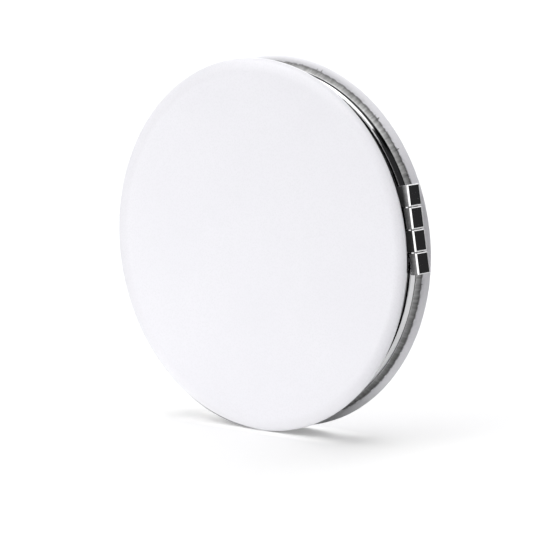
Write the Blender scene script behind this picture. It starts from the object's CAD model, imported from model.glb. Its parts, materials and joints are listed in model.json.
import json
import math
from collections import namedtuple

import bpy
import numpy as np
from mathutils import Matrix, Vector


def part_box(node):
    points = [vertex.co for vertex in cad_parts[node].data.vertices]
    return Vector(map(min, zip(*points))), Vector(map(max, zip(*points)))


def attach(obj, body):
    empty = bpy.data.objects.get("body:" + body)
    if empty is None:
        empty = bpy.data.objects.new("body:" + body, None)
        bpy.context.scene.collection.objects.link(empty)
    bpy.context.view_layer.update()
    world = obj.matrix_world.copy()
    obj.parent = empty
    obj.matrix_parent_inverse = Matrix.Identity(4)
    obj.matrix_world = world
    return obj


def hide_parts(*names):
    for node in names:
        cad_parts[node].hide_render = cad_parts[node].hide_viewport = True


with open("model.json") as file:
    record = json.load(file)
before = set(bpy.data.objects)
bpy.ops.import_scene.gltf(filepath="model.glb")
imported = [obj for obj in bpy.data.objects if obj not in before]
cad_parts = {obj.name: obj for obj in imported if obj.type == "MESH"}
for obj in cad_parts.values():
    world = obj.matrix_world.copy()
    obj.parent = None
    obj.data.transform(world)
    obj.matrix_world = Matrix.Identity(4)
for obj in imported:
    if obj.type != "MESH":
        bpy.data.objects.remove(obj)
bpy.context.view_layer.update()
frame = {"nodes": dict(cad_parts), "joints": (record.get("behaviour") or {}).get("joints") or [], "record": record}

# Round compact mirror, closed and standing on its rim. Metres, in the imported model's frame:
# Y runs through both covers (front cover towards -Y), Z is up and the floor is Z = 0.

# Outer shape of a leather cover
CROWN_RUN = 0.0025
NOSE_RADIUS = 0.00025
NOSE_DROP = 0.00078
TUCK_INSET = 0.0011
TUCK_ARC = 0.003
HEM_WIDTH = 0.005
FOAM_TAPER = 0.0006
SKIN_PLAY = 0.00002

# Pleats of the leather where it is turned in
PLEAT_SEED = {"front": 11, "back": 23}
PLEAT_COUNT = 120
PLEAT_JITTER_SHARES = (-0.45, 0.45)
PLEAT_DEPTHS = (0.00003, 0.00015)
PLEAT_WIDTHS = (0.00014, 0.00045)
PLEAT_REACH_SHARES = (0.25, 0.75)
LONG_CREASE_COUNT = 9
LONG_CREASE_DEPTH = 0.00012
LONG_CREASE_WIDTH = 0.00022
LONG_CREASE_REACH_SHARE = 1.25

# Mesh fineness
SEGMENTS = 1080
FACE_RINGS = 10
ARC_RINGS = 18
TUCK_RINGS = 20
SHARP_ANGLE = math.radians(35)

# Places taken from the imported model; heights count from the parting plane
leather_low, leather_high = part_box("front_leather")
board_low, board_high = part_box("front_board")
foam_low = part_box("front_foam")[0]
COVER_RADIUS = (leather_high.x - leather_low.x) / 2
CENTRE = Vector(((leather_low.x + leather_high.x) / 2, 0, (leather_low.z + leather_high.z) / 2))
FACE = -leather_low.y
SEAT = -leather_high.y
CORE_RADIUS = (board_high.x - board_low.x) / 2
HEM_TOP = -board_high.y
BOARD_TOP = -board_low.y
FOAM_TOP = -foam_low.y
HINGE_AXIS = Vector(frame["joints"][0]["axis"]).normalized()
TO_HINGE = Vector((HINGE_AXIS.z, 0, -HINGE_AXIS.x))
OUTWARD = {"front": Vector((0, -1, 0)), "back": Vector((0, 1, 0))}
BODY = {"front": "front_half", "back": "back_half"}
RING_ANGLES = np.linspace(0, 2 * math.pi, SEGMENTS, endpoint=False)


def arc(centre, radius, start, end, count):
    """Points of an arc, from one angle to another, both included."""
    return [
        (centre[0] + radius * math.cos(a), centre[1] + radius * math.sin(a))
        for a in np.linspace(start, end, count)
    ]


def leather_section():
    """Closed section of a leather cover, from the middle of its face round to the middle of its inside.

    Returns the points, and for each point how far it lies from the outermost edge to the tuck line.
    """
    nose = (COVER_RADIUS - NOSE_RADIUS, FACE - NOSE_DROP)
    flat_radius = COVER_RADIUS - CROWN_RUN
    tuck_radius = COVER_RADIUS - TUCK_INSET
    crown_reach = nose[0] - flat_radius
    crown_arc = (crown_reach ** 2 + NOSE_DROP ** 2 - NOSE_RADIUS ** 2) / (2 * (NOSE_DROP - NOSE_RADIUS))
    crown_centre = (flat_radius, FACE - crown_arc)
    crown_end = math.atan2(nose[1] - crown_centre[1], crown_reach)
    tuck_centre = tuck_arc_centre(nose, (tuck_radius, SEAT))
    tuck_start = math.atan2(nose[1] - tuck_centre[1], nose[0] - tuck_centre[0])
    tuck_end = math.atan2(SEAT - tuck_centre[1], tuck_radius - tuck_centre[0])

    face = [(flat_radius * share, FACE) for share in np.linspace(0, 1, FACE_RINGS, endpoint=False)]
    crown = arc(crown_centre, crown_arc, math.pi / 2, crown_end, ARC_RINGS)
    edge = arc(nose, NOSE_RADIUS, crown_end, tuck_start, ARC_RINGS)[1:]
    tuck = arc(tuck_centre, TUCK_ARC, tuck_start, tuck_end, TUCK_RINGS)[1:]
    core = CORE_RADIUS + SKIN_PLAY
    foam_radius = CORE_RADIUS - FOAM_TAPER
    inside = [
        (tuck_radius - HEM_WIDTH, SEAT),
        (tuck_radius - HEM_WIDTH, HEM_TOP - SKIN_PLAY),
        (core, HEM_TOP - SKIN_PLAY),
        (core, BOARD_TOP),
        (foam_radius, FOAM_TOP + SKIN_PLAY),
        (0, FOAM_TOP + SKIN_PLAY),
    ]
    turned = [0.0] * (len(face) + len(crown) + len(edge)) + list(np.linspace(0, 1, TUCK_RINGS))[1:]
    return face + crown + edge + tuck + inside, turned + [0.0] * len(inside)


def tuck_arc_centre(nose, tuck):
    """Middle of the arc that starts at the tuck line and is tangent to the rounded edge."""
    reach, rise = nose[0] - tuck[0], nose[1] - tuck[1]
    span = math.hypot(reach, rise)
    along = (span ** 2 + TUCK_ARC ** 2 - (TUCK_ARC - NOSE_RADIUS) ** 2) / (2 * span)
    off = math.sqrt(TUCK_ARC ** 2 - along ** 2)
    return (
        tuck[0] + (reach * along - rise * off) / span,
        tuck[1] + (rise * along + reach * off) / span,
    )


def smooth_step(value):
    return value * value * (3 - 2 * value)


def pleat_depths(half, turned):
    """Depth of the pleats under the smooth leather, for each ring and each angle."""
    rng = np.random.default_rng(PLEAT_SEED[half])
    pitch = 2 * math.pi / PLEAT_COUNT
    places = (np.arange(PLEAT_COUNT) + rng.uniform(*PLEAT_JITTER_SHARES, PLEAT_COUNT)) * pitch
    depths = rng.uniform(*PLEAT_DEPTHS, PLEAT_COUNT)
    widths = rng.uniform(*PLEAT_WIDTHS, PLEAT_COUNT)
    reaches = rng.uniform(*PLEAT_REACH_SHARES, PLEAT_COUNT)
    long_places = rng.uniform(0, 2 * math.pi, LONG_CREASE_COUNT)
    creases = list(zip(places, depths, widths, reaches))
    creases += [
        (place, LONG_CREASE_DEPTH, LONG_CREASE_WIDTH, LONG_CREASE_REACH_SHARE) for place in long_places
    ]
    total = np.zeros((len(turned), SEGMENTS))
    for place, depth, width, reach in creases:
        away = (RING_ANGLES - place + math.pi) % (2 * math.pi) - math.pi
        across = np.exp(-((away * COVER_RADIUS / width) ** 2))
        along = np.clip((turned - (1 - reach)) / reach, 0, 1)
        total = np.maximum(total, depth * np.outer(smooth_step(along), across))
    return total


def section_normals(section):
    """Outward normals of a closed section that runs clockwise from the axis."""
    points = np.array(section)
    ahead = np.roll(points, -1, axis=0) - np.roll(points, 1, axis=0)
    normals = np.stack([-ahead[:, 1], ahead[:, 0]], axis=1)
    return normals / np.linalg.norm(normals, axis=1, keepdims=True)


def lathe(name, half, section, sunk=None):
    """Mesh turned about the disc's axis from a section whose two ends lie on the axis."""
    side = OUTWARD[half].cross(TO_HINGE)
    across = np.outer(np.cos(RING_ANGLES), TO_HINGE) + np.outer(np.sin(RING_ANGLES), side)
    outward = np.array(OUTWARD[half])
    normals = section_normals(section)
    points, rings = [], []
    for i, (radius, height) in enumerate(section):
        if radius == 0:
            rings.append([len(points)])
            points.append(np.array(CENTRE) + height * outward)
            continue
        depth = np.zeros(SEGMENTS) if sunk is None else sunk[i]
        r = radius - depth * normals[i][0]
        h = height - depth * normals[i][1]
        rings.append(list(range(len(points), len(points) + SEGMENTS)))
        points.extend(np.array(CENTRE) + r[:, None] * across + h[:, None] * outward)
    faces = []
    for first, second in zip(rings, rings[1:]):
        for j in range(SEGMENTS):
            k = (j + 1) % SEGMENTS
            if len(first) == 1:
                faces.append((first[0], second[k], second[j]))
            elif len(second) == 1:
                faces.append((first[j], first[k], second[0]))
            else:
                faces.append((first[j], first[k], second[k], second[j]))
    mesh = bpy.data.meshes.new(name)
    mesh.from_pydata([tuple(p) for p in points], [], faces)
    mesh.validate()
    mesh.flip_normals()
    mesh.shade_smooth()
    mesh.set_sharp_from_angle(angle=SHARP_ANGLE)
    item = bpy.data.objects.new(name, mesh)
    bpy.context.scene.collection.objects.link(item)
    return item


# Ends of a ramp
RISING = (0.0, 1.0)
FALLING = (1.0, 0.0)

# Usual limits of a noise
NOISE_WIDE = (0.3, 0.7)
NOISE_NARROW = (0.35, 0.65)
NOISE_HAZE = (0.35, 0.7)


def grey(level):
    return (level, level, level)


class Nodes:
    """Short writing of a node tree."""

    def __init__(self, tree):
        self.tree = tree
        tree.nodes.clear()

    def add(self, kind, **values):
        node = self.tree.nodes.new(kind)
        for key, value in values.items():
            setattr(node, key, value)
        return node

    def fill(self, target, value):
        """Set a socket, or link it if the value is another node's output."""
        if isinstance(value, bpy.types.NodeSocket):
            self.tree.links.new(value, target)
        else:
            target.default_value = value

    def put(self, node, socket, value):
        self.fill(node.inputs[socket], value)

    def math(self, operation, first, second=0.0):
        node = self.add("ShaderNodeMath", operation=operation)
        self.put(node, 0, first)
        self.put(node, 1, second)
        return node.outputs[0]

    def product(self, first, *others):
        for other in others:
            first = self.math("MULTIPLY", first, other)
        return first

    def parts(self, vector):
        """The three coordinates of a vector."""
        node = self.add("ShaderNodeSeparateXYZ")
        self.put(node, 0, vector)
        return node.outputs

    def reach(self, vector, way):
        """How far a vector goes along a direction."""
        node = self.add("ShaderNodeVectorMath", operation="DOT_PRODUCT")
        self.put(node, 0, vector)
        self.put(node, 1, way)
        return node.outputs["Value"]

    def noise(self, vector, scale, detail=2.0, roughness=0.5):
        node = self.add("ShaderNodeTexNoise")
        self.put(node, "Vector", vector)
        self.put(node, "Scale", scale)
        self.put(node, "Detail", detail)
        self.put(node, "Roughness", roughness)
        return node.outputs["Fac"]

    def cells(self, vector, scale):
        node = self.add("ShaderNodeTexVoronoi", feature="F1")
        self.put(node, "Vector", vector)
        self.put(node, "Scale", scale)
        return node.outputs["Distance"]

    def ramp(self, value, limits, ends=RISING, smooth=False):
        """Go from one end to the other as the value passes between two limits."""
        node = self.add("ShaderNodeMapRange", interpolation_type="SMOOTHSTEP" if smooth else "LINEAR")
        for socket, entry in enumerate((value, *limits, *ends)):
            self.put(node, socket, entry)
        return node.outputs[0]

    def band(self, value, limits):
        """Mask that rises between the first two limits and falls between the last two."""
        rising = self.ramp(value, limits[:2], smooth=True)
        falling = self.ramp(value, limits[2:], FALLING, smooth=True)
        return self.product(rising, falling)

    def mix(self, share, first, second):
        """Mix two colours."""
        node = self.add("ShaderNodeMix", data_type="RGBA")
        self.put(node, "Factor", share)
        sockets = [socket for socket in node.inputs if socket.type == "RGBA"]
        for socket, colour in zip(sockets, (first, second)):
            self.fill(socket, colour if isinstance(colour, bpy.types.NodeSocket) else (*colour, 1.0))
        return next(socket for socket in node.outputs if socket.type == "RGBA")

    def mix_ways(self, share, first, second):
        """Mix two directions."""
        node = self.add("ShaderNodeMix", data_type="VECTOR")
        self.put(node, "Factor", share)
        sockets = [entry for entry in node.inputs if entry.type == "VECTOR" and entry.name in ("A", "B")]
        for socket, way in zip(sockets, (first, second)):
            self.fill(socket, way)
        return next(socket for socket in node.outputs if socket.type == "VECTOR")

    def bump(self, height, distance=1.0, strength=1.0, below=None):
        """Normal of a surface raised by a height; the distance is 1 where that is in metres."""
        node = self.add("ShaderNodeBump")
        self.put(node, "Height", height)
        self.put(node, "Distance", distance)
        self.put(node, "Strength", strength)
        if below is not None:
            self.put(node, "Normal", below)
        return node.outputs["Normal"]


def new_material(name, **constants):
    """Material with one principled shader; constants are set on its own sockets."""
    material = bpy.data.materials.new(name)
    material.use_nodes = True
    nodes = Nodes(material.node_tree)
    shader = nodes.add("ShaderNodeBsdfPrincipled")
    output = nodes.add("ShaderNodeOutputMaterial")
    nodes.put(output, "Surface", shader.outputs["BSDF"])
    for socket, value in constants.items():
        nodes.put(shader, socket.replace("_", " "), value)
    place = nodes.add("ShaderNodeTexCoord").outputs["Object"]
    return material, nodes, shader, place


Spot = namedtuple("Spot", "height depth along inset rise right")


def round_place(nodes, place):
    """Where a surface point lies on the disc.

    Height over the parting plane (front is minus) and its size, length along the disc's edge, how far
    inside that edge, and how far above and to the right of the disc's middle.
    """
    x, height, z = nodes.parts(place)
    right = nodes.math("SUBTRACT", x, CENTRE.x)
    rise = nodes.math("SUBTRACT", z, CENTRE.z)
    squares = nodes.math("ADD", nodes.product(right, right), nodes.product(rise, rise))
    return Spot(
        height=height,
        depth=nodes.math("ABSOLUTE", height),
        along=nodes.product(nodes.math("ARCTAN2", rise, right), COVER_RADIUS),
        inset=nodes.math("SUBTRACT", COVER_RADIUS, nodes.math("SQRT", squares)),
        rise=rise,
        right=right,
    )


def edge_noise(nodes, spot, pitch, stretch_share):
    """Noise in lines that cross the disc's edge, one about every pitch."""
    point = nodes.add("ShaderNodeCombineXYZ")
    nodes.put(point, 0, spot.along)
    nodes.put(point, 1, nodes.product(spot.height, stretch_share))
    return nodes.noise(point.outputs[0], 1 / pitch)


# Leather: grain and colours
LEATHER_SPECULAR = 0.35
LEATHER_ROUGHNESS = (0.5, 0.62)
LEATHER_SHADES = ((0.868, 0.862, 0.902), (0.886, 0.880, 0.918))
MOTTLE_SCALE = 60.0
MOTTLE_DETAIL = 3.0
GRAIN_SCALE = 2600.0
GRAIN_LIMITS = (0.0, 0.6)
GRAIN_SHADE = (0.84, 0.836, 0.872)
GRAIN_HEIGHT = 0.00001
GRAIN_STRENGTH = 0.35
PORE_SCALE = 900.0
PORE_DETAIL = 4.0
PORE_STRENGTH = 0.5

# Leather: dark tuck line with teeth, whose length changes from patch to patch
TUCK_SHADE = (0.20, 0.195, 0.20)
TUCK_FADE = 0.00014
TOOTH_LENGTH = 0.00022
TOOTH_PITCH = 0.0008
TOOTH_STRETCH_SHARE = 0.15
TOOTH_NOISE = (0.64, 0.80)
TOOTH_RISE = (-0.012, 0.004)
TOOTH_LOW_SHARE = 0.3
PATCH_PITCH = 0.004
PATCH_STRETCH_SHARE = 0.1
PATCH_SHARES = (0.1, 2.6)

# Leather: soil on the turned-in edge, at the top of the disc and at its foot
SOIL_SHADE = (0.33, 0.33, 0.34)
TOP_SOIL_SHARE = 0.62
TOP_SOIL_DEPTHS = (0.0026, 0.0036)
TOP_SOIL_RISE = (0.023, 0.034)
FOOT_SOIL_SHARE = 0.85
FOOT_SOIL_DEPTHS = (0.0036, 0.0037)
FOOT_SOIL_RISE = (-0.033, -0.022)

# Leather: tones of the front cover's rim, all round, on the left, at the foot, and low on the left
FRONT_HEIGHTS = (-0.0005, 0.0005)
RIM_SHARE = 0.12
RIM_INSETS = (0.00019, 0.00069)
LEFT_RIM_SHARE = 0.20
LEFT_RIM_INSETS = (0.00049, 0.00299)
LEFT_RIM_SIDE = (-0.013, 0.0)
LEFT_RIM_RISE = (-0.025, -0.005)
FOOT_RIM_SHADE = (0.96, 0.955, 0.985)
FOOT_RIM_SHARE = 0.8
FOOT_RIM_INSETS = (0.00049, 0.00249)
FOOT_RIM_RISE = (-0.030, -0.020)
FOOT_LINE_SHADE = (0.20, 0.20, 0.21)
FOOT_LINE_SHARE = 0.9
FOOT_LINE_INSETS = (0.00014, 0.00039)
FOOT_LINE_SIDE = (-0.004, 0.001)
FOOT_LINE_RISE = (-0.0330, -0.0298)

# Leather: soft fall of a cover towards its right edge
ROLL_OFF_DROP = 0.00023
ROLL_OFF_INSETS = (0.00019, 0.00249)
ROLL_OFF_SIDE = (-0.006, 0.012)
ROLL_OFF_RISE = (-0.033, -0.018)


def leather_tone(nodes, place, pebble):
    """Clean white leather: a faint mottle, darker in the middle of the pebbles."""
    mottle = nodes.noise(place, MOTTLE_SCALE, MOTTLE_DETAIL)
    shade = nodes.mix(nodes.ramp(mottle, NOISE_WIDE), *LEATHER_SHADES)
    return nodes.mix(nodes.ramp(pebble, GRAIN_LIMITS), GRAIN_SHADE, shade)


def hem_soil(nodes, spot):
    """Share of soil on the turned-in edge."""
    turned_in = nodes.ramp(spot.depth, TOP_SOIL_DEPTHS, (TOP_SOIL_SHARE, 0.0))
    top = nodes.product(turned_in, nodes.ramp(spot.rise, TOP_SOIL_RISE, smooth=True))
    tucked = nodes.ramp(spot.depth, FOOT_SOIL_DEPTHS, (FOOT_SOIL_SHARE, 0.0))
    foot = nodes.product(tucked, nodes.ramp(spot.rise, FOOT_SOIL_RISE, FALLING, smooth=True))
    return nodes.math("ADD", top, foot)


def rim_soil(nodes, spot):
    """Share of soil on the rim, wider on its left."""
    edge = nodes.ramp(spot.inset, RIM_INSETS, (RIM_SHARE, 0.0), smooth=True)
    left = nodes.product(
        nodes.ramp(spot.right, LEFT_RIM_SIDE, FALLING),
        nodes.ramp(spot.rise, LEFT_RIM_RISE),
        nodes.ramp(spot.inset, LEFT_RIM_INSETS, (LEFT_RIM_SHARE, 0.0)),
    )
    return nodes.math("MAXIMUM", edge, left)


def foot_rim(nodes, spot):
    """Share of the pale tone at the foot of the rim."""
    return nodes.product(
        nodes.ramp(spot.rise, FOOT_RIM_RISE, FALLING),
        nodes.ramp(spot.inset, FOOT_RIM_INSETS, (FOOT_RIM_SHARE, 0.0)),
    )


def foot_line(nodes, spot):
    """Share of the thin dark line low on the left of the rim."""
    return nodes.product(
        nodes.ramp(spot.rise, FOOT_LINE_RISE, FALLING),
        nodes.ramp(spot.right, FOOT_LINE_SIDE, FALLING),
        nodes.ramp(spot.inset, FOOT_LINE_INSETS, (FOOT_LINE_SHARE, 0.0)),
    )


def past_tuck_line(nodes, spot):
    """Mask that is 0 on the toothed tuck line and 1 beyond it."""
    line = edge_noise(nodes, spot, TOOTH_PITCH, TOOTH_STRETCH_SHARE)
    patch = edge_noise(nodes, spot, PATCH_PITCH, PATCH_STRETCH_SHARE)
    tooth = nodes.product(
        nodes.ramp(line, TOOTH_NOISE, (0.0, TOOTH_LENGTH)),
        nodes.ramp(spot.rise, TOOTH_RISE, (TOOTH_LOW_SHARE, 1.0)),
        nodes.ramp(patch, NOISE_NARROW, PATCH_SHARES),
    )
    return nodes.ramp(nodes.math("SUBTRACT", spot.depth, tooth), (SEAT, SEAT + TUCK_FADE), smooth=True)


def roll_off(nodes, spot):
    """Height of the soft fall, in metres."""
    rolled = nodes.ramp(spot.inset, ROLL_OFF_INSETS, FALLING)
    right = nodes.ramp(spot.right, ROLL_OFF_SIDE)
    above_foot = nodes.ramp(spot.rise, ROLL_OFF_RISE)
    return nodes.product(rolled, rolled, -ROLL_OFF_DROP, right, above_foot)


def leather_material():
    """Soft matt white leather with a fine pebbled grain, dark where it is tucked in."""
    material, nodes, shader, place = new_material("white_leather", Specular_IOR_Level=LEATHER_SPECULAR)
    spot = round_place(nodes, place)
    pebble = nodes.cells(place, GRAIN_SCALE)
    pore = nodes.noise(place, PORE_SCALE, PORE_DETAIL)
    front = nodes.ramp(spot.height, FRONT_HEIGHTS, FALLING)
    tone = leather_tone(nodes, place, pebble)
    tone = nodes.mix(hem_soil(nodes, spot), tone, SOIL_SHADE)
    tone = nodes.mix(nodes.product(front, rim_soil(nodes, spot)), tone, SOIL_SHADE)
    tone = nodes.mix(nodes.product(front, foot_rim(nodes, spot)), tone, FOOT_RIM_SHADE)
    tone = nodes.mix(nodes.product(front, foot_line(nodes, spot)), tone, FOOT_LINE_SHADE)
    nodes.put(shader, "Base Color", nodes.mix(past_tuck_line(nodes, spot), TUCK_SHADE, tone))
    nodes.put(shader, "Roughness", nodes.ramp(pore, NOISE_WIDE, LEATHER_ROUGHNESS))
    rim = nodes.bump(roll_off(nodes, spot))
    grain = nodes.bump(pebble, GRAIN_HEIGHT, GRAIN_STRENGTH, below=rim)
    nodes.put(shader, "Normal", nodes.bump(pore, GRAIN_HEIGHT, PORE_STRENGTH, below=grain))
    return material


# Plated metal
PLATE_SHADES = ((0.67, 0.67, 0.68), (0.72, 0.72, 0.73))
PLATE_ROUGHNESS = (0.035, 0.08)
DULL_ROUGHNESS = 0.4
HAZE_SCALE = 220.0
HAZE_DETAIL = 4.0
SCRATCH_SCALE = 3200.0
SCRATCH_DETAIL = 1.0
SCRATCH_HEIGHT = 0.000002
SCRATCH_STRENGTH = 0.1


def plating(nodes, place):
    """Colour, roughness and scratches of bright plated metal."""
    haze = nodes.noise(place, HAZE_SCALE, HAZE_DETAIL)
    scratch = nodes.noise(place, SCRATCH_SCALE, SCRATCH_DETAIL)
    colour = nodes.mix(nodes.ramp(haze, NOISE_WIDE), *PLATE_SHADES)
    return colour, nodes.ramp(haze, NOISE_HAZE, PLATE_ROUGHNESS), scratch


def dull(nodes, shader, gloss, share, metal_share):
    """Make plating rougher and less metallic by a share."""
    nodes.put(shader, "Roughness", nodes.math("ADD", gloss, nodes.product(share, DULL_ROUGHNESS)))
    nodes.put(shader, "Metallic", nodes.ramp(share, RISING, (1.0, metal_share)))


# Hinge knuckles, by depth under their faces: dark front wall, which lightens outwards on some of them
KNUCKLE_NUMBERS = (1, 2, 3, 4)
OUTER_DEPTHS = (0.0003, 0.0004)
WALL_DEPTHS = (0.00001, 0.00005)
END_WALL_DEPTHS = (0.00017, 0.00037)
WALL_SHADES = (grey(0.05), grey(0.08))
WALL_METAL_SHARE = 0.2
CLOUD_SHADES = (grey(0.34), grey(0.5))
CLOUD_DEPTHS = {1: (0.0005, 0.0014), 2: (0.0001, 0.0023), 4: (0.0001, 0.0023)}

# Hinge knuckles: strips along the outer face's edges, whose normals tip outwards
FRONT_STRIP = (0.00008, 0.00012)
FRONT_BEVEL = math.radians(28)
BACK_STRIP = (0.00027, 0.00031)
BACK_BEVEL = math.radians(24)
BACK_STRIP_KNUCKLES = (2, 3)
END_STRIP = (0.00016, 0.00020)
TOP_BEVEL = math.radians(40)
BOTTOM_BEVEL = math.radians(30)


def depth_under(nodes, place, name, way):
    """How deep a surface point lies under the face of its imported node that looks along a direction."""
    face = max(way.dot(vertex.co) for vertex in frame["nodes"][name].data.vertices)
    return nodes.math("SUBTRACT", face, nodes.reach(place, way))


def tilted(nodes, normal, share, towards, angle):
    """Replace a normal, by a share, by the outer face's normal tipped by an angle."""
    turned = nodes.add(
        "ShaderNodeVectorTransform", vector_type="NORMAL", convert_from="OBJECT", convert_to="WORLD"
    )
    nodes.put(turned, 0, TO_HINGE * math.cos(angle) + towards * math.sin(angle))
    return nodes.mix_ways(share, normal, turned.outputs[0])


def knuckle_material(name, number):
    """Bright plated metal with bright edges and a dark front wall."""
    material, nodes, shader, place = new_material("knuckle_chrome_%d" % number)
    plated, gloss, scratch = plating(nodes, place)
    under_outer = depth_under(nodes, place, name, TO_HINGE)
    under_front = depth_under(nodes, place, name, OUTWARD["front"])
    under_back = depth_under(nodes, place, name, OUTWARD["back"])
    outside = nodes.ramp(under_outer, OUTER_DEPTHS, FALLING)
    inside = nodes.ramp(under_outer, OUTER_DEPTHS)
    top = nodes.ramp(depth_under(nodes, place, name, HINGE_AXIS), END_STRIP, FALLING)
    bottom = nodes.ramp(depth_under(nodes, place, name, -HINGE_AXIS), END_STRIP, FALLING)

    ends = nodes.math("MAXIMUM", top, bottom)
    end_wall = nodes.product(ends, nodes.ramp(under_front, END_WALL_DEPTHS, FALLING))
    face_wall = nodes.ramp(under_front, WALL_DEPTHS, FALLING, smooth=True)
    wall = nodes.product(inside, nodes.math("MAXIMUM", end_wall, face_wall))
    tone = nodes.mix(nodes.ramp(scratch, NOISE_WIDE), *WALL_SHADES)
    if number in CLOUD_DEPTHS:
        cloud = nodes.mix(nodes.ramp(scratch, NOISE_WIDE), *CLOUD_SHADES)
        tone = nodes.mix(nodes.ramp(under_outer, CLOUD_DEPTHS[number], FALLING), tone, cloud)
    nodes.put(shader, "Base Color", nodes.mix(wall, plated, tone))
    dull(nodes, shader, gloss, wall, WALL_METAL_SHARE)

    strips = [(top, HINGE_AXIS, TOP_BEVEL), (bottom, -HINGE_AXIS, BOTTOM_BEVEL)]
    if number in BACK_STRIP_KNUCKLES:
        strips.append((nodes.ramp(under_back, BACK_STRIP, FALLING), OUTWARD["back"], BACK_BEVEL))
    strips.append((nodes.ramp(under_front, FRONT_STRIP, FALLING), OUTWARD["front"], FRONT_BEVEL))
    normal = nodes.add("ShaderNodeNewGeometry").outputs["Normal"]
    for strip, towards, angle in strips:
        normal = tilted(nodes, normal, nodes.product(outside, strip), towards, angle)
    nodes.put(shader, "Normal", nodes.bump(scratch, SCRATCH_HEIGHT, SCRATCH_STRENGTH, below=normal))
    return material


# Frames: sloping waist that ends in a dull lip, lined across and darker towards the leather
WAIST_HALF = 0.0017
WAIST_SLOPE_SHARE = 0.085
WAVE_SCALE = 130.0
WAVE_DETAIL = 1.0
WAVE_HEIGHT = 0.00003
WAVE_STRENGTH = 0.15
LIP_FADE = 0.0001
LIP_METAL_SHARE = 0.3
LIP_LIGHT_RISE = (-0.015, 0.005, 0.022, 0.031)
LIGHT_LIP_SHADES = (grey(0.66), grey(0.84))
DARK_LIP_SHADES = (grey(0.36), grey(0.48))
TUCKED_LIP_SHADE = grey(0.10)
LOW_LIP_SHADE = grey(0.02)
LOW_LIP_SHARE = 0.45
LOW_LIP_RISE = (-0.026, -0.004)
STRIPE_PITCH = 0.0003
STRIPE_STRETCH_SHARE = 0.1
STREAK_PITCH = 0.0006
STREAK_STRETCH_SHARE = 0.2
STREAK_REACH = (-0.0002, 0.0002)

# Frames: dark lines beside the lip, in the upper waist and in the front frame's groove
CREASE_DEPTHS = (0.00142, 0.00155, 0.00168, 0.00174)
CREASE_SHADE = grey(0.05)
UPPER_CREASE_DEPTHS = (0.00088, 0.00098, 0.00167, 0.00172)
UPPER_CREASE_RISE = (0.018, 0.0205)
UPPER_CREASE_SHADE = grey(0.012)
GROOVE_HEIGHTS = (-0.0011, -0.0009, -0.00015, -0.00005)
GROOVE_SHADE = grey(0.03)


def lip_tone(nodes, spot):
    """Colour of the lip: lined across, light high up, streaked dark next to the leather and at its foot."""
    stripe = nodes.ramp(edge_noise(nodes, spot, STRIPE_PITCH, STRIPE_STRETCH_SHARE), NOISE_NARROW)
    light = nodes.mix(stripe, *LIGHT_LIP_SHADES)
    dark = nodes.mix(stripe, *DARK_LIP_SHADES)
    lined = nodes.mix(nodes.band(spot.rise, LIP_LIGHT_RISE), dark, light)
    streak_noise = edge_noise(nodes, spot, STREAK_PITCH, STREAK_STRETCH_SHARE)
    streaked = nodes.math("ADD", spot.depth, nodes.ramp(streak_noise, NOISE_WIDE, STREAK_REACH))
    tone = nodes.mix(nodes.ramp(streaked, (WAIST_HALF, SEAT)), lined, TUCKED_LIP_SHADE)
    return nodes.mix(nodes.ramp(spot.rise, LOW_LIP_RISE, (LOW_LIP_SHARE, 0.0)), tone, LOW_LIP_SHADE)


def chrome_material(name, groove=False):
    """Bright plated metal with hairline scratches; a frame's lip is dull, its creases and groove dark."""
    material, nodes, shader, place = new_material(name)
    plated, gloss, scratch = plating(nodes, place)
    spot = round_place(nodes, place)
    lip = nodes.ramp(spot.depth, (WAIST_HALF, WAIST_HALF + LIP_FADE), smooth=True)
    tone = nodes.mix(lip, plated, lip_tone(nodes, spot))
    tone = nodes.mix(nodes.band(spot.depth, CREASE_DEPTHS), tone, CREASE_SHADE)
    upper = nodes.ramp(spot.rise, UPPER_CREASE_RISE, smooth=True)
    upper_crease = nodes.product(upper, nodes.band(spot.depth, UPPER_CREASE_DEPTHS))
    tone = nodes.mix(upper_crease, tone, UPPER_CREASE_SHADE)
    if groove:
        tone = nodes.mix(nodes.band(spot.height, GROOVE_HEIGHTS), tone, GROOVE_SHADE)
    nodes.put(shader, "Base Color", tone)
    dull(nodes, shader, gloss, lip, LIP_METAL_SHARE)
    wave = nodes.noise(place, WAVE_SCALE, WAVE_DETAIL)
    sloped = nodes.bump(nodes.product(spot.depth, WAIST_SLOPE_SHARE))
    waved = nodes.bump(wave, WAVE_HEIGHT, WAVE_STRENGTH, below=sloped)
    nodes.put(shader, "Normal", nodes.bump(scratch, SCRATCH_HEIGHT, SCRATCH_STRENGTH, below=waved))
    return material


# Steel of the hinge pin and the catch
STEEL_LINE_SCALES = (6000.0, 6000.0, 240.0)
STEEL_LINE_DETAIL = 3.0
STEEL_LINE_HEIGHT = 0.000004
STEEL_LINE_STRENGTH = 0.4
STEEL_SHADES = ((0.42, 0.42, 0.43), (0.60, 0.60, 0.61))
STEEL_ROUGHNESS = (0.22, 0.38)


def steel_material():
    """Drawn steel with fine upright lines."""
    material, nodes, shader, place = new_material("steel", Metallic=1.0)
    stretch = nodes.add("ShaderNodeMapping")
    nodes.put(stretch, "Vector", place)
    nodes.put(stretch, "Scale", STEEL_LINE_SCALES)
    line = nodes.noise(stretch.outputs[0], 1.0, STEEL_LINE_DETAIL)
    nodes.put(shader, "Base Color", nodes.mix(line, *STEEL_SHADES))
    nodes.put(shader, "Roughness", nodes.ramp(line, NOISE_WIDE, STEEL_ROUGHNESS))
    nodes.put(shader, "Normal", nodes.bump(line, STEEL_LINE_HEIGHT, STEEL_LINE_STRENGTH))
    return material


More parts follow.
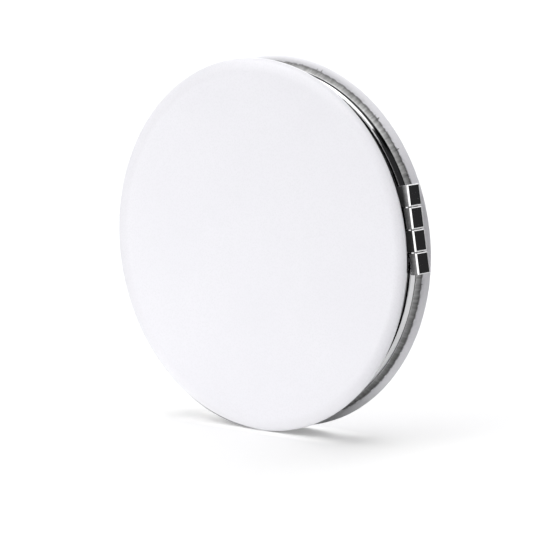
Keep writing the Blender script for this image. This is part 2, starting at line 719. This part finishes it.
# Mirror glass
MIRROR_SHADES = ((0.90, 0.925, 0.92), (0.93, 0.945, 0.94))
MIRROR_HAZE_SCALE = 75.0
MIRROR_HAZE_DETAIL = 5.0
MIRROR_HAZE_ROUGHNESS = 0.6
MIRROR_GLOSS_NOISE = (0.45, 0.75)
MIRROR_ROUGHNESS = (0.002, 0.014)
SPECK_SCALE = 420.0
SPECK_LIMITS = (0.0, 0.08)
SPECK_ROUGHNESS = (0.05, 0.0)


def mirror_material():
    """Silvered glass: nearly perfect reflection, with the faint haze of handling."""
    material, nodes, shader, place = new_material("mirror", Metallic=1.0)
    haze = nodes.noise(place, MIRROR_HAZE_SCALE, MIRROR_HAZE_DETAIL, MIRROR_HAZE_ROUGHNESS)
    speck = nodes.cells(place, SPECK_SCALE)
    nodes.put(shader, "Base Color", nodes.mix(nodes.ramp(haze, NOISE_HAZE), *MIRROR_SHADES))
    gloss = nodes.ramp(haze, MIRROR_GLOSS_NOISE, MIRROR_ROUGHNESS)
    dust = nodes.ramp(speck, SPECK_LIMITS, SPECK_ROUGHNESS)
    nodes.put(shader, "Roughness", nodes.math("ADD", gloss, dust))
    return material


# Foam pads
FOAM_SPECULAR = 0.2
FOAM_SHADES = ((0.70, 0.69, 0.64), (0.78, 0.77, 0.72))
FOAM_ROUGHNESS = (0.8, 0.95)
FOAM_CLOUD_SCALE = 300.0
FOAM_CELL_SCALE = 3500.0
FOAM_CELL_LIMITS = (0.0, 0.5)
FOAM_CELL_SHADE = (0.55, 0.54, 0.50)
FOAM_CELL_HEIGHT = 0.00005
FOAM_CELL_STRENGTH = 0.8


def foam_material():
    """Off-white closed-cell foam."""
    material, nodes, shader, place = new_material("foam", Specular_IOR_Level=FOAM_SPECULAR)
    cell = nodes.cells(place, FOAM_CELL_SCALE)
    cloud = nodes.noise(place, FOAM_CLOUD_SCALE)
    warm = nodes.mix(cloud, *FOAM_SHADES)
    nodes.put(shader, "Base Color", nodes.mix(nodes.ramp(cell, FOAM_CELL_LIMITS), FOAM_CELL_SHADE, warm))
    nodes.put(shader, "Roughness", nodes.ramp(cloud, NOISE_WIDE, FOAM_ROUGHNESS))
    nodes.put(shader, "Normal", nodes.bump(cell, FOAM_CELL_HEIGHT, FOAM_CELL_STRENGTH))
    return material


# Stiff boards
BOARD_SPECULAR = 0.2
BOARD_SHADES = ((0.13, 0.125, 0.115), (0.22, 0.21, 0.19))
BOARD_ROUGHNESS = (0.8, 0.95)
BOARD_FIBRE_SCALE = 1500.0
BOARD_FIBRE_DETAIL = 6.0
BOARD_FIBRE_ROUGHNESS = 0.7
BOARD_FIBRE_HEIGHT = 0.00003
BOARD_FIBRE_STRENGTH = 0.6
FLECK_SCALE = 700.0
FLECK_LIMITS = (0.0, 0.12)
FLECK_SHADE = (0.36, 0.34, 0.30)


def board_material():
    """Grey board with pressed fibres and flecks."""
    material, nodes, shader, place = new_material("board", Specular_IOR_Level=BOARD_SPECULAR)
    fibre = nodes.noise(place, BOARD_FIBRE_SCALE, BOARD_FIBRE_DETAIL, BOARD_FIBRE_ROUGHNESS)
    fleck = nodes.cells(place, FLECK_SCALE)
    plain = nodes.mix(nodes.ramp(fibre, NOISE_WIDE), *BOARD_SHADES)
    nodes.put(shader, "Base Color", nodes.mix(nodes.ramp(fleck, FLECK_LIMITS), FLECK_SHADE, plain))
    nodes.put(shader, "Roughness", nodes.ramp(fibre, NOISE_WIDE, BOARD_ROUGHNESS))
    nodes.put(shader, "Normal", nodes.bump(fibre, BOARD_FIBRE_HEIGHT, BOARD_FIBRE_STRENGTH))
    return material


# Tapes
TAPE_COAT = 0.3
TAPE_COAT_ROUGHNESS = 0.2
TAPE_SHADES = ((0.66, 0.66, 0.63), (0.80, 0.80, 0.77))
TAPE_ROUGHNESS = (0.65, 0.4)
TAPE_FIBRE_SCALE = 900.0
TAPE_FIBRE_DETAIL = 5.0
TAPE_FIBRE_ROUGHNESS = 0.65
TAPE_FIBRE_HEIGHT = 0.00001
TAPE_FIBRE_STRENGTH = 0.4
BUBBLE_SCALE = 500.0
BUBBLE_LIMITS = (0.0, 0.4)


def tape_material():
    """White double-sided tape: paper fibres under a thin gloss of glue."""
    material, nodes, shader, place = new_material(
        "tape", Coat_Weight=TAPE_COAT, Coat_Roughness=TAPE_COAT_ROUGHNESS
    )
    fibre = nodes.noise(place, TAPE_FIBRE_SCALE, TAPE_FIBRE_DETAIL, TAPE_FIBRE_ROUGHNESS)
    bubble = nodes.cells(place, BUBBLE_SCALE)
    nodes.put(shader, "Base Color", nodes.mix(nodes.ramp(fibre, NOISE_WIDE), *TAPE_SHADES))
    nodes.put(shader, "Roughness", nodes.ramp(bubble, BUBBLE_LIMITS, TAPE_ROUGHNESS))
    nodes.put(shader, "Normal", nodes.bump(fibre, TAPE_FIBRE_HEIGHT, TAPE_FIBRE_STRENGTH))
    return material


def dress(item, material):
    item.data.materials.clear()
    item.data.materials.append(material)


def dress_nodes():
    """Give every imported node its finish; the front frame and each knuckle have their own."""
    finish_of = {
        "board": board_material(),
        "tape": tape_material(),
        "chrome": chrome_material("chrome"),
        "mirror": mirror_material(),
        "steel": steel_material(),
        "white_leather": leather_material(),
        "foam": foam_material(),
    }
    for row in frame["record"]["subparts"]:
        dress(frame["nodes"][row["node"]], finish_of[row["material_slot"]])
    dress(frame["nodes"]["front_frame"], chrome_material("grooved_chrome", groove=True))
    for number in KNUCKLE_NUMBERS:
        name = "hinge_knuckle_%d" % number
        dress(frame["nodes"][name], knuckle_material(name, number))
    return finish_of


def add_soft_pieces(half, finish_of):
    """Leather skin and foam pad of one half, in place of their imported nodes."""
    section, turned = leather_section()
    skin = lathe(half + "_cover_skin", half, section, pleat_depths(half, np.array(turned)))
    dress(skin, finish_of["white_leather"])
    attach(skin, BODY[half])
    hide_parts(half + "_leather")
    foam_section = [
        (0, FOAM_TOP),
        (CORE_RADIUS - FOAM_TAPER, FOAM_TOP),
        (CORE_RADIUS, BOARD_TOP),
        (0, BOARD_TOP),
    ]
    pad = lathe(half + "_foam_pad", half, foam_section)
    dress(pad, finish_of["foam"])
    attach(pad, BODY[half])
    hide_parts(half + "_foam")


# Floor
FLOOR_SIDE = 6.0
FLOOR_CLOUD_SCALE = 3.0
FLOOR_SHADES = (grey(0.86), grey(0.87))
FLOOR_BOUNCE_SHADES = (grey(0.70), grey(0.24))
FLOOR_DIM_WAY = (0.8, -0.6, 0.0)
FLOOR_DIM_REACH = (0.03, 0.17)
FLOOR_GLOW = 0.27
GLOW_SHADES = (grey(0.0), grey(1.0))
GLOW_ALONG = (0.0, 0.005, 0.013, 0.022)
GLOW_ACROSS = (0.003, 0.007)


def floor_material():
    """Plain pale sweep.

    It sends less light back to the part than the camera sees, least of all from the front right, and
    glows a little under the rim, for the camera only, in place of that light.
    """
    material, nodes, shader, place = new_material(
        "pale_floor", Specular_IOR_Level=0.0, Roughness=1.0, Emission_Strength=FLOOR_GLOW
    )
    seen = nodes.add("ShaderNodeLightPath").outputs["Is Camera Ray"]
    pale = nodes.mix(nodes.noise(place, FLOOR_CLOUD_SCALE), *FLOOR_SHADES)
    dim = nodes.ramp(nodes.reach(place, FLOOR_DIM_WAY), FLOOR_DIM_REACH, smooth=True)
    bounce = nodes.mix(dim, *FLOOR_BOUNCE_SHADES)
    nodes.put(shader, "Base Color", nodes.mix(seen, bounce, pale))
    parts = nodes.parts(place)
    along = nodes.math("ABSOLUTE", nodes.math("SUBTRACT", parts["X"], CENTRE.x))
    across = nodes.ramp(nodes.math("ABSOLUTE", parts["Y"]), GLOW_ACROSS, FALLING)
    glow = nodes.product(nodes.band(along, GLOW_ALONG), across, seen)
    nodes.put(shader, "Emission Color", nodes.mix(glow, *GLOW_SHADES))
    return material


def add_floor():
    half_side = FLOOR_SIDE / 2
    corners = [(x * half_side, y * half_side, 0) for x, y in ((-1, -1), (1, -1), (1, 1), (-1, 1))]
    mesh = bpy.data.meshes.new("floor")
    mesh.from_pydata(corners, [], [(0, 1, 2, 3)])
    item = bpy.data.objects.new("floor", mesh)
    bpy.context.scene.collection.objects.link(item)
    dress(item, floor_material())


# Lamp: one wide soft light overhead, a little to the left
LAMP_STRENGTH = 1.65
LAMP_ANGLE = math.radians(108)
LAMP_WAY = (-0.36, 0.0, 1.0)


def add_lamp():
    lamp = bpy.data.lights.new("overhead", "SUN")
    lamp.energy = LAMP_STRENGTH
    lamp.angle = LAMP_ANGLE
    item = bpy.data.objects.new("overhead", lamp)
    item.rotation_mode = "QUATERNION"
    item.rotation_quaternion = Vector(LAMP_WAY).to_track_quat("Z", "Y")
    bpy.context.scene.collection.objects.link(item)


# Studio walls, by the direction of a ray
WHITE = (1.0, 1.0, 1.0, 1.0)
BACKDROP_STRENGTH = 1.05
WALL_SIDE = (-0.3, 0.4)
WALL_STRENGTHS = (3.15, 0.1)
FAR_LEFT_SIDE = (-0.8, -0.25)
FAR_LEFT_SHARES = (0.08, 1.0)
CEILING_RISE = (0.45, 0.85)
CEILING_SHARES = (1.0, 0.58)
CARD_SIDE = (0.3, 0.5)
CARD_STRENGTHS = (0.0, 1.75)
CARD_RISE = (0.3, 0.45)
CARD_WIDTH = (-0.4, -0.25, 0.3, 0.45)
DOORWAY_COLOUR = (0.03, 0.03, 0.031, 1.0)
DOORWAY_AZIMUTH = math.radians(45)
DOORWAY_ELEVATION = math.radians(15)
DOORWAY_ANGLES = (math.radians(38.2), math.radians(35.7))


def direction(azimuth, elevation):
    """Unit vector; azimuth from +X towards +Y."""
    return Vector((
        math.cos(azimuth) * math.cos(elevation),
        math.sin(azimuth) * math.cos(elevation),
        math.sin(elevation),
    ))


def background(nodes, colour, strength=1.0):
    node = nodes.add("ShaderNodeBackground")
    nodes.put(node, "Color", colour)
    nodes.put(node, "Strength", strength)
    return node.outputs[0]


def mix_shaders(nodes, share, first, second):
    node = nodes.add("ShaderNodeMixShader")
    for socket, entry in enumerate((share, first, second)):
        nodes.put(node, socket, entry)
    return node.outputs[0]


def add_world():
    """Studio that is bright on the left and dim on the right.

    The far left is dark, the ceiling dimmer, a low card on the right is bright, and a dark doorway lies
    to the right behind the object. The camera itself sees a plain white backdrop.
    """
    world = bpy.data.worlds.new("studio")
    world.use_nodes = True
    bpy.context.scene.world = world
    nodes = Nodes(world.node_tree)
    way = nodes.add("ShaderNodeTexCoord").outputs["Generated"]
    x, y, z = nodes.parts(way)
    walls = nodes.product(
        nodes.ramp(x, WALL_SIDE, WALL_STRENGTHS, smooth=True),
        nodes.ramp(x, FAR_LEFT_SIDE, FAR_LEFT_SHARES, smooth=True),
        nodes.ramp(z, CEILING_RISE, CEILING_SHARES, smooth=True),
    )
    card = nodes.product(
        nodes.ramp(z, CARD_RISE, FALLING, smooth=True),
        nodes.band(y, CARD_WIDTH),
        nodes.ramp(x, CARD_SIDE, CARD_STRENGTHS, smooth=True),
    )
    facing = nodes.reach(way, direction(DOORWAY_AZIMUTH, DOORWAY_ELEVATION))
    doorway = nodes.ramp(facing, [math.cos(angle) for angle in DOORWAY_ANGLES], smooth=True)
    lit = background(nodes, WHITE, nodes.math("ADD", walls, card))
    room = mix_shaders(nodes, doorway, lit, background(nodes, DOORWAY_COLOUR))
    seen = nodes.add("ShaderNodeLightPath").outputs["Is Camera Ray"]
    backdrop = background(nodes, WHITE, BACKDROP_STRENGTH)
    output = nodes.add("ShaderNodeOutputWorld")
    nodes.put(output, "Surface", mix_shaders(nodes, seen, room, backdrop))


# Camera, fitted to the photograph: the disc's middle lands on MIDDLE_PIXEL, the sensor is in millimetres
IMAGE_SIDE = 533
AZIMUTH = math.radians(39.957)
ELEVATION = math.radians(8.296)
DISTANCE = 0.7
FOCAL_PIXELS = 3740.94
SENSOR = 36.0
MIDDLE_PIXEL = (270.25, 242.56)


def add_camera():
    back = direction(AZIMUTH - math.pi / 2, ELEVATION)
    right = Vector((math.cos(AZIMUTH), math.sin(AZIMUTH), 0))
    up = back.cross(right)
    pixel = DISTANCE / FOCAL_PIXELS
    image_middle = (IMAGE_SIDE - 1) / 2
    aim = CENTRE - right * (MIDDLE_PIXEL[0] - image_middle) * pixel
    aim = aim - up * (image_middle - MIDDLE_PIXEL[1]) * pixel
    camera = bpy.data.cameras.new("camera")
    camera.sensor_width = SENSOR
    camera.lens = FOCAL_PIXELS * SENSOR / IMAGE_SIDE
    item = bpy.data.objects.new("camera", camera)
    item.location = CENTRE + back * DISTANCE
    item.rotation_mode = "QUATERNION"
    item.rotation_quaternion = (aim - item.location).to_track_quat("-Z", "Y")
    bpy.context.scene.collection.objects.link(item)
    bpy.context.scene.camera = item


finishes = dress_nodes()
for side in ("front", "back"):
    add_soft_pieces(side, finishes)
add_floor()
add_lamp()
add_world()
add_camera()
bpy.context.scene.view_settings.view_transform = "Standard"

bpy.context.view_layer.update()
